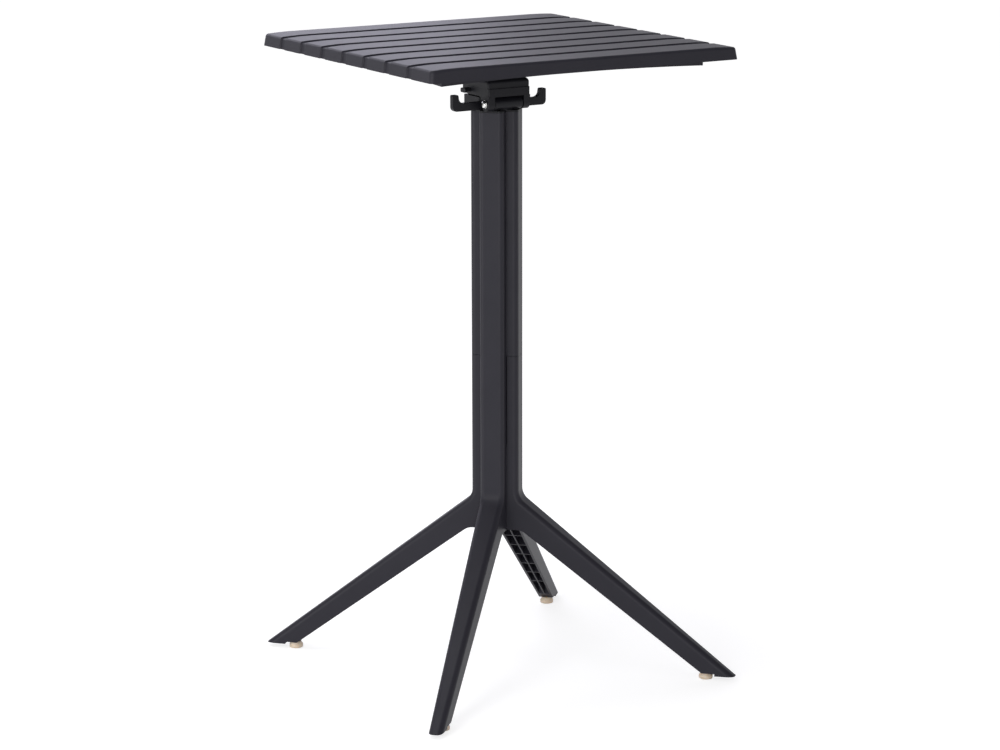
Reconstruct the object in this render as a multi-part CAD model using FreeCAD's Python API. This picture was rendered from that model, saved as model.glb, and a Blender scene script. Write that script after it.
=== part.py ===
import FreeCAD, Part
import math
import os

# A folding bar table in moulded plastic: a slatted square top on a hinged head, a column of four lobes
# and four ribbed legs in two frames that lap across each other.
# Lengths are in millimetres. The origin is on the floor under the column's axis and +Z is up.
# +X runs along the slats and the hinge, and the top folds down on the -Y side.

# Overall sizes
HEIGHT = 1100.0          # floor to the upper face of the top
TOP_SIZE = 587.0         # side of the square top over the skirt's lower edge
LEG_SPREAD = 600.0       # side of the square through the four leg tips

# Top moulding
SLATS = 8
SKIRT_H = 22.0
SKIRT_FLARE = 3.0        # how far the skirt's lower edge stands outside its upper edge
SKIRT_WALL = 5.5
PANEL_WALL = 6.0
TOP_CORNER_R = 8.0
TOP_EDGE_R = 5.0
END_ROLL = 56.0          # length over which the slat ends roll down
END_DROP = 2.0
GROOVE_WIDTH = 19.0
GROOVE_FLOOR = 16.5
GROOVE_DEPTH = 2.3
RIB_WALL = 2.5
RIB_SHORT = 1.0          # how far the ribs stop above the skirt's lower edge
APRON_INSET = 43.0
APRON_WALL = 3.5
APRON_DROP = 12.0        # how far the apron's corners hang below the skirt
APRON_ARCH = 5.5         # rise of its lower edge in the middle
TRAY_CORNER_R = 2.5

# Column and leg frames
LOBE_REACH = 41.5        # column axis to a lobe's outer face
LOBE_HALF = 21.2         # half the width of a lobe at its outer face
LOBE_EDGE_R = 9.0
FRAME_WALL = 4.0
SEAM_Z = 558.0           # joint line on the left and right lobes
SEAM_GAP = 0.5
LAP_Z = 400.0            # height at which the two frames meet inside the column
LAP_CLEAR = 0.3
BEND_Z = 306.0           # where a leg's upper line meets its lobe
BEND_R = 25.0
CROTCH_Z = 249.0
CROTCH_HALF = 48.0
CROTCH_R = 25.0
TIP_HALF = 12.0          # half the width of a leg at its tip
TIP_NOSE_R = 10.5
TIP_CUT_Z = 7.5
HEEL_BACK = 35.0         # length of the flat under a leg tip
SEAT_BACK = 5.3          # flat seat inside the glide's axis
LEG_RIB_START = 30.0     # first rib along the leg from the bend
LEG_RIB_PITCH = 46.0
LEG_RIB_WALL = 2.5
LEG_RIB_DEEP = 64.0      # more than a leg's depth anywhere
FOOT_BLOCK = 20.0        # solid length inside the glide's axis

# Glides
GLIDE_INSET = 52.2       # leg tip to the glide's axis
PAD_R = 12.2
PAD_NECK_R = 9.0
PAD_H = 11.2
PAD_SIDE_H = 6.7
PAD_RIM = 2.0
PAD_CLEAR = 0.3
STUD_R = 4.0
STUD_LENGTH = 28.0
STUD_IN_PAD = 6.0
STUD_END = 0.5           # room above the stud when it is right in
INSERT_R = 6.0
INSERT_LENGTH = 20.0
FIT = 0.05               # radial clearance of every pin, stud, bush and screw
OVER = 1.0               # overlap of solids to be joined and of cutters past a face
NEAR = 0.05              # how close an edge lies to a place that picks it

# Hinge head, leaf and pedestal
HINGE_Y = -31.0
EAR_R = 12.0
LEAF_HALF = 40.5
LEAF_BACK = 46.0
LEAF_T = 14.0
LEAF_DROP = 78.0         # top's upper face to the leaf's upper face
EAR_T = 12.0
EAR_FILLET = 9.5
EAR_SIDE_CLEAR = 0.3
REST_GAP = 0.2           # leaf above the head's deck
BARREL_R = 11.2
BUSH_R = 6.0
BUSH_LENGTH = 14.0
BUSH_FLANGE_R = 8.5
BUSH_FLANGE_T = 1.2
BOLT_R = 4.0
BOLT_HEAD_R = 6.2
BOLT_HEAD_H = 4.2
BOLT_HEAD_ROUND = 2.5
WASHER_R = 7.0
WASHER_T = 1.4
NUT_ACROSS = 13.0
NUT_H = 6.5
NUT_POCKET_R = 8.2
NUT_POCKET_DEEP = 7.0
BLOCK_HALF = 38.0
BLOCK_FRONT = -8.0
BLOCK_EDGE_R = 3.0
DECK_STEP = 3.0          # raised pad of the deck that the leaf rests on
DECK_INSET = 5.0
WEB_UP = 5.6             # web behind the barrel, above the hinge axis
COLLAR_T = 3.2
COLLAR_CLEAR = 0.8       # below the ears
SPIGOT_DEPTH = 50.0
SPIGOT_CLEAR = 0.3
HEAD_FLOOR = 9.0
HOOK_ROOT = 20.0         # hook arm inside the head block
HOOK_REACH = 91.5
HOOK_Y = -6.0
HOOK_T = 9.4
HOOK_ARM_H = 13.5
HOOK_TIP_H = 28.0
HOOK_TIP_W = 10.8
HOOK_LEAN = 2.0
HOOK_BEND_R = 9.5
HOOK_HEEL_R = 8.0
HOOK_TIP_R = 2.0

# Tie rod through the column
ROD_R = 4.0
ROD_BOSS_R = 11.0
ROD_BOSS_UP = 12.0       # lower boss face above the frame's underside
ROD_STICK = 2.0          # rod past each nut
ROD_WELL_R = 10.5

# Lock
LOCK_Y = 24.0
SLIDE_W = 10.0
SLIDE_H = 6.0
SLIDE_CLEAR = 0.2
SLIDE_BACK = 1.0         # bolt's nose short of the lug when withdrawn
SLIDE_TIP = 1.0
LOCK_TRAVEL = 8.0
LUG_T = 8.0
LUG_HALF = 9.0
LUG_CLEAR = 0.5
LUG_SWING = 3.3          # room behind the lug for the leaf's swing
TAB_T = 3.0
TAB_HALF = 8.0
TAB_DROP = 1.5           # tab below the bolt's lower face
TAB_EDGE_R = 2.0
TAB_CLEAR = 0.5          # tab off the leaf when pushed in
STOP_PIN_R = 1.5
STOP_PIN_X = -24.0
STOP_PIN_END = 3.0       # pin beyond the channel above and below

# Pedestal and its screws
MOUNT_SEAT = 24.0        # top's upper face to the pedestal's flange
PLINTH_H = 15.5
PLINTH_EDGE_R = 7.0
PLINTH_SETBACK = 2.0     # behind the leaf's front face
NECK_INSET = 9.0
MOUNT_WALL = 4.0
MOUNT_FLOOR = 6.0
FLANGE_OUT = 35.0        # flange beyond the pedestal's walls
FLANGE_T = 5.0
FLANGE_CORNER_R = 10.0
GUSSET_T = 3.0
GUSSET_H = 30.0
SCREW_R = 2.5
SCREW_HEAD_R = 5.0
SCREW_HEAD_H = 3.6
SCREW_HEAD_ROUND = 1.2
SCREW_HEAD_CLEAR = 0.5
SCREW_SINK = 4.2         # depth of the wells for the leaf screws' heads
SCREW_BITE = 13.0        # screw length in the boss that it taps
SCREW_END = 1.0          # hole past the screw's end
SCREW_BOSS_R = 6.0
LEAF_SCREW_X = 23.0
LEAF_SCREW_INSET = 8.0
PEDESTAL_BOSS_H = 18.0
FLANGE_SCREW_INSET = 12.0

# Worked out from the sizes above
V = FreeCAD.Vector
UP = V(0, 0, 1)
SKIRT_Z = HEIGHT - SKIRT_H
LEAF_TOP_Z = HEIGHT - LEAF_DROP
LEAF_Z = LEAF_TOP_Z - LEAF_T
HINGE_Z = LEAF_Z - EAR_R
LEAF_FRONT = HINGE_Y - EAR_R
DECK_Z = LEAF_Z - REST_GAP
COLLAR_Z = HINGE_Z - EAR_R - COLLAR_CLEAR
COLUMN_Z = COLLAR_Z - COLLAR_T
TIP_REACH = LEG_SPREAD / math.sqrt(2)
GLIDE_REACH = TIP_REACH - GLIDE_INSET
SEAT_Z = PAD_H + PAD_CLEAR
LEG_SLOPE = (BEND_Z - TIP_CUT_Z) / (TIP_REACH - LOBE_REACH)
SEAT_IN = GLIDE_REACH - SEAT_BACK
UNDER_SLOPE = (CROTCH_Z - SEAT_Z) / (SEAT_IN - CROTCH_HALF)
FLANK_TAPER = (LOBE_HALF - TIP_HALF) / (TIP_REACH - LOBE_REACH)
SLOT_HALF = LOBE_HALF + LOBE_REACH * FLANK_TAPER + LAP_CLEAR
MOUNT_Z = HEIGHT - MOUNT_SEAT
LEAF_MID_Y = (LEAF_FRONT + LEAF_BACK) / 2
LEAF_DEEP = LEAF_BACK - LEAF_FRONT
EAR_IN = LEAF_HALF - EAR_T
NUT_SEAT_X = LEAF_HALF - NUT_POCKET_DEEP
BARREL_HALF = EAR_IN - EAR_SIDE_CLEAR - BUSH_FLANGE_T
LOCK_Z = LEAF_Z + LEAF_T / 2
SLIDE_NOSE_X = -LUG_T / 2 - SLIDE_BACK
TAB_X = -LEAF_HALF - TAB_CLEAR - LOCK_TRAVEL
ROD_LOW_Z = CROTCH_Z + ROD_BOSS_UP
ROD_HIGH_Z = DECK_Z - NUT_H - WASHER_T - ROD_STICK - REST_GAP
FAR = 2 * LEG_SPREAD


def on_xz(y):
    return lambda a, b: V(a, y, b)


def on_yz(x):
    return lambda a, b: V(x, a, b)


def on_xy(z):
    return lambda a, b: V(a, b, z)


def outline(corners, place):
    """Closed wire through corners (a, b, radius), each rounded by an arc of its radius."""
    count = len(corners)
    starts = []
    ends = []
    arcs = []
    for i, (a, b, radius) in enumerate(corners):
        here = V(a, b, 0)
        back = V(*corners[i - 1][:2], 0) - here
        ahead = V(*corners[(i + 1) % count][:2], 0) - here
        half_angle = back.getAngle(ahead) / 2
        cut = radius / math.tan(half_angle) if radius else 0.0
        start = here + back.normalize() * cut
        end = here + ahead.normalize() * cut
        starts.append(start)
        ends.append(end)
        if radius:
            middle = (back + ahead).normalize()
            arcs.append(here + middle * (radius / math.sin(half_angle) - radius))
        else:
            arcs.append(None)
    edges = []
    for i in range(count):
        if arcs[i]:
            points = [place(p.x, p.y) for p in (starts[i], arcs[i], ends[i])]
            edges.append(Part.Arc(*points).toShape())
        after = starts[(i + 1) % count]
        if (after - ends[i]).Length > 1e-6:
            edges.append(Part.makeLine(place(ends[i].x, ends[i].y), place(after.x, after.y)))
    return Part.Wire(edges)


def plate(corners, place, thickness):
    """Solid of the outline pushed along the direction and length of thickness."""
    return Part.Face(outline(corners, place)).extrude(thickness)


def box(x0, x1, y0, y1, z0, z1):
    return Part.makeBox(x1 - x0, y1 - y0, z1 - z0, V(x0, y0, z0))


def rod(radius, length, base, direction=UP):
    return Part.makeCylinder(radius, length, base, direction)


def ring(outer, inner, length, base, direction=UP):
    return rod(outer, length, base, direction).cut(rod(inner, length, base, direction))


def rectangle(half_x, y0, y1, radius=0.0):
    corners = [(-half_x, y0), (half_x, y0), (half_x, y1), (-half_x, y1)]
    return [(a, b, radius) for a, b in corners]


def mirrored(corners):
    """Corners given from the middle outwards on the right, completed with their mirror on the left."""
    return corners + [(-a, b, r) for a, b, r in reversed(corners)]


def turned(shape, degrees):
    copy = shape.copy()
    copy.rotate(V(), UP, degrees)
    return copy


def hexagon_nut(base, direction, bore):
    corner = V(NUT_ACROSS / math.sqrt(3), 0, 0)
    points = [FreeCAD.Rotation(UP, 60 * i).multVec(corner) for i in range(7)]
    nut = Part.Face(Part.makePolygon(points)).extrude(UP * NUT_H)
    nut = nut.cut(rod(bore, NUT_H, V()))
    nut.Placement = FreeCAD.Placement(base, FreeCAD.Rotation(UP, direction))
    return nut


def screw(x, y, head_z, length, sink=0.0):
    """Pan-head screw driven upwards, its head's upper face at head_z plus the sink."""
    seat = head_z + sink
    low_z = seat - SCREW_HEAD_H
    head = rod(SCREW_HEAD_R, SCREW_HEAD_H, V(x, y, low_z))
    rim = [e for e in head.Edges if abs(e.CenterOfMass.z - low_z) < NEAR]
    head = head.makeFillet(SCREW_HEAD_ROUND, rim)
    return head.fuse(rod(SCREW_R, length, V(x, y, seat)))


# The top moulding: slats over a ribbed tray with a flared skirt and an arched apron

def skirt_half(inset, z):
    """Half the top's width at height z, on the skirt's face or on a face inset from it."""
    lean = SKIRT_FLARE / SKIRT_H
    return TOP_SIZE / 2 - lean * (z - SKIRT_Z) - inset * math.sqrt(1 + lean * lean)


def slat_outline(inset, low_z):
    """The top's outline across the skirts of the slat ends, inset from its face by the given depth."""
    lean = SKIRT_FLARE / SKIRT_H
    half_run = END_ROLL / 2
    fall = END_DROP / half_run
    slant = math.sqrt(1 + fall * fall)
    turn_x = skirt_half(0, HEIGHT) - half_run - inset * (slant - 1) / fall
    edge_z = HEIGHT - inset - fall * (skirt_half(inset, HEIGHT - END_DROP) - turn_x) / (1 - fall * lean)
    edge_x = skirt_half(inset, edge_z)
    roll_r = (half_run - TOP_EDGE_R) / math.tan(math.atan(fall) / 2)
    edge_r = max(TOP_EDGE_R - inset, 0.0)
    right = [(turn_x, HEIGHT - inset, roll_r - inset), (edge_x, edge_z, edge_r),
             (skirt_half(inset, low_z), low_z, 0)]
    return mirrored(right)


def square_frustum(inset, low_z, high_z, corner_r):
    low = skirt_half(inset, low_z)
    high = skirt_half(inset, high_z)
    wires = [outline(rectangle(low, -low, low, corner_r), on_xy(low_z)),
             outline(rectangle(high, -high, high, corner_r), on_xy(high_z))]
    return Part.makeLoft(wires, True, True)


def slat_roof(inset):
    """Block under the slats' rolled upper face, wider than the top on every side."""
    half_run = END_ROLL / 2
    turn_x = skirt_half(0, HEIGHT) - half_run
    fall = END_DROP / half_run
    roll_r = (half_run - TOP_EDGE_R) / math.tan(math.atan(fall) / 2)
    reach = TOP_SIZE
    right = [(turn_x, HEIGHT - inset, roll_r), (reach, HEIGHT - inset - fall * (reach - turn_x), 0),
             (reach, SKIRT_Z - SKIRT_H - reach * fall, 0)]
    return plate(mirrored(right), on_xz(-TOP_SIZE), V(0, 2 * TOP_SIZE, 0))


def groove_cutter(y):
    """What is taken away between two slats: sloped sides down to a floor that runs over both ends."""
    low_z = SKIRT_Z - SKIRT_H
    over = GROOVE_DEPTH / 2
    slope = (GROOVE_WIDTH - GROOVE_FLOOR) / 2 / GROOVE_DEPTH
    wide = GROOVE_WIDTH / 2 + over * slope
    narrow = GROOVE_FLOOR / 2
    stations = [(-wide, -over), (-narrow, GROOVE_DEPTH), (narrow, GROOVE_DEPTH), (wide, -over)]
    wires = [outline(slat_outline(inset, low_z), on_xz(y + side)) for side, inset in stations]
    core = Part.makeLoft(wires, True, True)
    reach = TOP_SIZE
    return box(-reach, reach, y - wide, y + wide, low_z + over, HEIGHT + SKIRT_H).cut(core)


def apron_side():
    """Upright wall behind one skirt, lowest at its corners, with a shallow arch along its lower edge."""
    half = TOP_SIZE / 2 - APRON_INSET
    place = on_xz(-half)
    foot_z = SKIRT_Z - APRON_DROP
    high_z = HEIGHT - PANEL_WALL + OVER
    corners = [place(half, foot_z), place(half, high_z), place(-half, high_z), place(-half, foot_z)]
    arch = Part.Arc(corners[3], place(0, foot_z + APRON_ARCH), corners[0])
    edges = [Part.makeLine(a, b) for a, b in zip(corners, corners[1:])]
    return Part.Face(Part.Wire(edges + [arch.toShape()])).extrude(V(0, APRON_WALL, 0))


def flange_screw_places():
    half_x = LEAF_HALF + FLANGE_OUT - FLANGE_SCREW_INSET
    half_y = LEAF_DEEP / 2 + FLANGE_OUT - FLANGE_SCREW_INSET
    corners = [(sx * half_x, LEAF_MID_Y + sy * half_y) for sx in (-1, 1) for sy in (-1, 1)]
    middles = [(-half_x, 0), (half_x, 0), (0, -half_y), (0, half_y)]
    return corners + [(x, LEAF_MID_Y + y) for x, y in middles]


def tabletop():
    shell = square_frustum(0, SKIRT_Z, HEIGHT, TOP_CORNER_R).common(slat_roof(0))
    rim = [e for e in shell.Edges if e.CenterOfMass.z > HEIGHT - 2 * END_DROP
           and max(abs(e.CenterOfMass.x), abs(e.CenterOfMass.y)) > skirt_half(0, HEIGHT) - TOP_CORNER_R / 2]
    shell = shell.makeFillet(TOP_EDGE_R, rim)
    tray = square_frustum(SKIRT_WALL, SKIRT_Z - OVER, HEIGHT, TRAY_CORNER_R).common(slat_roof(PANEL_WALL))
    shell = shell.cut(tray)
    pitch = TOP_SIZE / SLATS
    lines = [(i - SLATS / 2) * pitch for i in range(1, SLATS)]
    shell = shell.cut([groove_cutter(y) for y in lines])
    sunk = GROOVE_DEPTH + OVER
    rib_z = SKIRT_Z + RIB_SHORT
    high_z = HEIGHT - sunk
    under = [(skirt_half(sunk, high_z), high_z, 0), (skirt_half(sunk, rib_z), rib_z, 0)]
    flat = TOP_SIZE / 2 - END_ROLL
    ribs = []
    for place in lines:
        ribs.append(plate(slat_outline(sunk, rib_z), on_xz(place - RIB_WALL / 2), V(0, RIB_WALL, 0)))
        if abs(place) < flat:
            ribs.append(plate(mirrored(under), on_yz(place - RIB_WALL / 2), V(RIB_WALL, 0, 0)))
    aprons = [turned(apron_side(), 90 * i) for i in range(4)]
    places = flange_screw_places()
    boss_h = HEIGHT - PANEL_WALL + OVER - MOUNT_Z
    bosses = [rod(SCREW_BOSS_R, boss_h, V(x, y, MOUNT_Z)) for x, y in places]
    holes = [rod(SCREW_R + FIT, SCREW_BITE + SCREW_END, V(x, y, MOUNT_Z)) for x, y in places]
    return shell.fuse(ribs + aprons + bosses).cut(holes).removeSplitter()


# The leg frames, each drawn along X in its own plane and then turned to its diagonal

def flank(s):
    return LOBE_HALF + (LOBE_REACH - s) * FLANK_TAPER


def leg_top(s):
    return BEND_Z - LEG_SLOPE * (s - LOBE_REACH)


def leg_under(s):
    return CROTCH_Z - UNDER_SLOPE * (s - CROTCH_HALF)


def plan_slab(reach, wall, low_z, high_z, nose_r=0.0):
    """Slab that narrows from the column to both leg tips, inset by a wall."""
    middle = flank(0) - wall
    tip = flank(reach) - wall
    right = [(0, -middle, 0), (reach, -tip, nose_r), (reach, tip, nose_r), (0, middle, 0)]
    left = [(-reach, tip, nose_r), (-reach, -tip, nose_r)]
    return plate(right + left, on_xy(low_z), UP * (high_z - low_z))


def frame_blank(high_z):
    """Two lobes that run down into two legs, rounded along their outer edges."""
    heel = TIP_REACH - HEEL_BACK
    right = [(LOBE_REACH, high_z, 0), (LOBE_REACH, BEND_Z, BEND_R), (TIP_REACH, TIP_CUT_Z, 0),
             (heel, TIP_CUT_Z, 0), (heel, SEAT_Z, 0), (SEAT_IN, SEAT_Z, 0), (CROTCH_HALF, CROTCH_Z, CROTCH_R)]
    side = plate(mirrored(right), on_xz(-FAR), V(0, 2 * FAR, 0))
    blank = side.common(plan_slab(TIP_REACH + OVER, 0, -OVER, high_z + OVER))
    rounded = []
    for edge in blank.Edges:
        p = edge.CenterOfMass
        s = abs(p.x)
        on_flank = abs(abs(p.y) - flank(s)) < NEAR
        on_top = p.z > (leg_top(s) + leg_under(s)) / 2 and s > LOBE_REACH - OVER
        if on_flank and on_top and SEAT_Z + OVER < p.z < high_z - OVER:
            rounded.append(edge)
    nose = plan_slab(TIP_REACH, 0, -OVER, high_z + OVER, TIP_NOSE_R)
    return blank.makeFillet(LOBE_EDGE_R, rounded).common(nose)


def leg_pocket(inner_s, high_z):
    """The hollow of one leg and its lobe, open underneath, parted by ribs across and one rib along."""
    slant = math.sqrt(1 + LEG_SLOPE * LEG_SLOPE)
    outer_s = LOBE_REACH - FRAME_WALL
    end_s = GLIDE_REACH - FOOT_BLOCK
    bend_z = leg_top(outer_s) - FRAME_WALL * slant
    end_z = leg_top(end_s) - FRAME_WALL * slant
    corners = [(inner_s, high_z, 0), (outer_s, high_z, 0), (outer_s, bend_z, BEND_R), (end_s, end_z, 0),
               (end_s, -OVER, 0), (inner_s, -OVER, 0)]
    hollow = plate(corners, on_xz(-FAR), V(0, 2 * FAR, 0))
    hollow = hollow.common(plan_slab(TIP_REACH, FRAME_WALL, -OVER, high_z + OVER))
    along = V(1, 0, -LEG_SLOPE).normalize()
    across = V(LEG_SLOPE, 0, 1).normalize()
    half = LEG_RIB_WALL / 2
    ribs = [box(SLOT_HALF, TIP_REACH, -half, half, -OVER, BEND_Z)]
    length = (end_s - LOBE_REACH) * slant
    for i in range(int((length - LEG_RIB_START) / LEG_RIB_PITCH) + 1):
        foot = V(LOBE_REACH, -FAR, BEND_Z) + along * (LEG_RIB_START + i * LEG_RIB_PITCH - half)
        high = foot + across * LEG_RIB_DEEP
        low = foot - across * LEG_RIB_DEEP
        width = along * LEG_RIB_WALL
        face = Part.Face(Part.makePolygon([low, low + width, high + width, high, low]))
        ribs.append(face.extrude(V(0, 2 * FAR, 0)))
    return hollow.cut(ribs)


def both_ways(shape):
    return [shape, turned(shape, 180)]


def insert_holes():
    depth = STUD_LENGTH - PAD_CLEAR + STUD_END
    hole = rod(INSERT_R + FIT, depth, V(GLIDE_REACH, 0, SEAT_Z))
    return both_ways(hole)


def lobe_slab(wall, low_z, high_z):
    """Two opposite lobes of the column as one slab, square-edged, inset by a wall."""
    reach = LOBE_REACH - wall
    side = box(-reach, reach, -FAR, FAR, low_z, high_z)
    return plan_slab(TIP_REACH, wall, low_z, high_z).common(side)


def rounded_lobe_slab(low_z, high_z):
    slab = lobe_slab(0, low_z, high_z)
    upright = [e for e in slab.Edges if abs(abs(e.CenterOfMass.x) - LOBE_REACH) < NEAR
               and abs(abs(e.CenterOfMass.y) - flank(LOBE_REACH)) < NEAR]
    return slab.makeFillet(LOBE_EDGE_R, upright)


def main_leg_frame():
    """Front and back legs with the whole upper column, slotted from below for the cross frame."""
    sides = turned(rounded_lobe_slab(SEAM_Z, COLUMN_Z), 90)
    frame = frame_blank(COLUMN_Z).fuse(sides)
    slot = box(-SLOT_HALF, SLOT_HALF, -FAR, FAR, -OVER, LAP_Z)
    floor_z = LAP_Z + 2 * FRAME_WALL
    shaft = lobe_slab(FRAME_WALL, floor_z, COLUMN_Z)
    side_shaft = turned(lobe_slab(FRAME_WALL, SEAM_Z + FRAME_WALL, COLUMN_Z), 90)
    pocket = leg_pocket(SLOT_HALF + FRAME_WALL, LAP_Z - FRAME_WALL)
    rod_hole = rod(ROD_R + FIT, 4 * FRAME_WALL, V(0, 0, LAP_Z - FRAME_WALL))
    frame = frame.cut([slot, shaft, side_shaft, rod_hole] + both_ways(pocket) + insert_holes())
    return turned(frame.removeSplitter(), 45)


def cross_leg_frame():
    """Left and right legs with their lobes up to the seam, slotted from above for the main frame."""
    high_z = SEAM_Z - SEAM_GAP
    frame = frame_blank(high_z)
    slot = box(-SLOT_HALF, SLOT_HALF, -FAR, FAR, LAP_Z, SEAM_Z)
    pocket = leg_pocket(SLOT_HALF + FRAME_WALL, high_z - FRAME_WALL)
    boss = rod(ROD_BOSS_R, LAP_Z, V(0, 0, ROD_LOW_Z))
    between = box(-SLOT_HALF, SLOT_HALF, -FAR, FAR, 0, LAP_Z)
    middle = lobe_slab(FRAME_WALL, 0, LAP_Z - FRAME_WALL).common(between).cut(boss)
    rod_hole = rod(ROD_R + FIT, LAP_Z, V(0, 0, CROTCH_Z))
    frame = frame.cut([slot, middle, rod_hole] + both_ways(pocket) + insert_holes())
    return turned(frame.removeSplitter(), -45)


# The head on the column, the rod that ties it down and the lock

def hook(side):
    low_z = HINGE_Z - EAR_R
    arm_z = low_z + HOOK_ARM_H
    tip_z = low_z + HOOK_TIP_H
    root = BLOCK_HALF - HOOK_ROOT
    inner = HOOK_REACH - HOOK_TIP_W
    corners = [(root, low_z, 0), (HOOK_REACH, low_z, HOOK_HEEL_R), (HOOK_REACH, tip_z, HOOK_TIP_R),
               (inner, tip_z, HOOK_TIP_R), (inner - HOOK_LEAN, arm_z, HOOK_BEND_R), (root, arm_z, 0)]
    corners = [(side * a, b, r) for a, b, r in corners]
    return plate(corners, on_xz(HOOK_Y - HOOK_T / 2), V(0, HOOK_T, 0))


def column_section(low_z, high_z):
    slab = turned(rounded_lobe_slab(low_z, high_z), 45)
    return slab.fuse(turned(slab, 90))


def spigot(wall, low_z, high_z):
    slab = turned(lobe_slab(wall, low_z, high_z), 45)
    return slab.fuse(turned(slab, 90))


def lock_window():
    half_w = SLIDE_W / 2 + LUG_CLEAR
    half_h = SLIDE_H / 2 + LUG_CLEAR
    return box(-LUG_T, LUG_T, LOCK_Y - half_w, LOCK_Y + half_w, LOCK_Z - half_h, LOCK_Z + half_h)


def column_head():
    """Deck, hinge barrel, lock lug and bag hooks in one moulding, with a spigot down into the column."""
    collar = column_section(COLUMN_Z, COLLAR_Z)
    plan = rectangle(BLOCK_HALF, BLOCK_FRONT, LEAF_BACK, BLOCK_EDGE_R)
    block = plate(plan, on_xy(COLUMN_Z), UP * (DECK_Z - DECK_STEP - COLUMN_Z))
    front = BLOCK_FRONT + DECK_INSET
    plan = rectangle(BLOCK_HALF - DECK_INSET, front, LEAF_BACK - DECK_INSET, BLOCK_EDGE_R)
    deck = plate(plan, on_xy(COLUMN_Z), UP * (DECK_Z - COLUMN_Z))
    barrel = rod(BARREL_R, 2 * BARREL_HALF, V(-BARREL_HALF, HINGE_Y, HINGE_Z), V(1, 0, 0))
    web = box(-BARREL_HALF, BARREL_HALF, HINGE_Y, BLOCK_FRONT + OVER, COLUMN_Z, HINGE_Z + WEB_UP)
    plug = spigot(FRAME_WALL + SPIGOT_CLEAR, COLUMN_Z - SPIGOT_DEPTH, COLUMN_Z)
    lug_z = LEAF_TOP_Z - LUG_CLEAR
    lug = box(-LUG_T / 2, LUG_T / 2, LOCK_Y - LUG_HALF, LOCK_Y + LUG_HALF, COLLAR_Z, lug_z)
    head = collar.fuse([block, deck, barrel, web, plug, hook(-1), hook(1), lug])
    core = spigot(2 * FRAME_WALL + SPIGOT_CLEAR, COLUMN_Z - SPIGOT_DEPTH, ROD_HIGH_Z - HEAD_FLOOR)
    bore = rod(BUSH_R + FIT, 2 * BARREL_HALF, V(-BARREL_HALF, HINGE_Y, HINGE_Z), V(1, 0, 0))
    well = rod(ROD_WELL_R, DECK_Z, V(0, 0, ROD_HIGH_Z))
    rod_hole = rod(ROD_R + FIT, DECK_Z, V(0, 0, COLUMN_Z - SPIGOT_DEPTH))
    return head.cut([core, bore, well, rod_hole, lock_window()]).removeSplitter()


def tie_rod():
    low = ROD_LOW_Z - WASHER_T - NUT_H - ROD_STICK
    high = ROD_HIGH_Z + WASHER_T + NUT_H + ROD_STICK
    return rod(ROD_R, high - low, V(0, 0, low))


def tie_rod_washers():
    low = ring(WASHER_R, ROD_R + FIT, WASHER_T, V(0, 0, ROD_LOW_Z - WASHER_T))
    return Part.makeCompound([low, ring(WASHER_R, ROD_R + FIT, WASHER_T, V(0, 0, ROD_HIGH_Z))])


def tie_rod_nuts():
    low = hexagon_nut(V(0, 0, ROD_LOW_Z - WASHER_T - NUT_H), UP, ROD_R + FIT)
    return Part.makeCompound([low, hexagon_nut(V(0, 0, ROD_HIGH_Z + WASHER_T), UP, ROD_R + FIT)])


def lock_slide():
    """Flat bolt in the leaf, drawn withdrawn from the lug, with a slot for its stop pin and a pull tab."""
    half_w = SLIDE_W / 2
    half_h = SLIDE_H / 2
    bolt = box(TAB_X, SLIDE_NOSE_X, LOCK_Y - half_w, LOCK_Y + half_w, LOCK_Z - half_h, LOCK_Z + half_h)
    tip = [e for e in bolt.Edges if abs(e.CenterOfMass.x - SLIDE_NOSE_X) < NEAR]
    bolt = bolt.makeChamfer(SLIDE_TIP, tip)
    tab_corners = [(LOCK_Y + a, b, r) for a, b, r in
                   rectangle(TAB_HALF, LOCK_Z - half_h - TAB_DROP, LOCK_Z + half_h, TAB_EDGE_R)]
    tab = plate(tab_corners, on_yz(TAB_X - TAB_T), V(TAB_T, 0, 0))
    room = STOP_PIN_R + SLIDE_CLEAR
    slot_in = STOP_PIN_X - LOCK_TRAVEL - room
    slot = box(slot_in, STOP_PIN_X + room, LOCK_Y - room, LOCK_Y + room, 0, FAR)
    return bolt.fuse(tab).cut(slot).removeSplitter()


def lock_stop_pin():
    half = SLIDE_H / 2 + SLIDE_CLEAR + STOP_PIN_END
    return rod(STOP_PIN_R, 2 * half, V(STOP_PIN_X, LOCK_Y, LOCK_Z - half))


# The hinge

def ear(x):
    low = HINGE_Z - EAR_R
    back = HINGE_Y + EAR_R
    root = back + 2 * EAR_FILLET
    corners = [(LEAF_FRONT, LEAF_Z + OVER, 0), (LEAF_FRONT, low, EAR_R), (back, low, EAR_R),
               (back, LEAF_Z, EAR_FILLET), (root, LEAF_Z, 0), (root, LEAF_Z + OVER, 0)]
    return plate(corners, on_yz(x), V(EAR_T, 0, 0))


def leaf_screw_places():
    front = HINGE_Y + EAR_R + EAR_FILLET + LEAF_SCREW_INSET
    return [(sx * LEAF_SCREW_X, y) for sx in (-1, 1) for y in (front, LEAF_BACK - LEAF_SCREW_INSET)]


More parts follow.
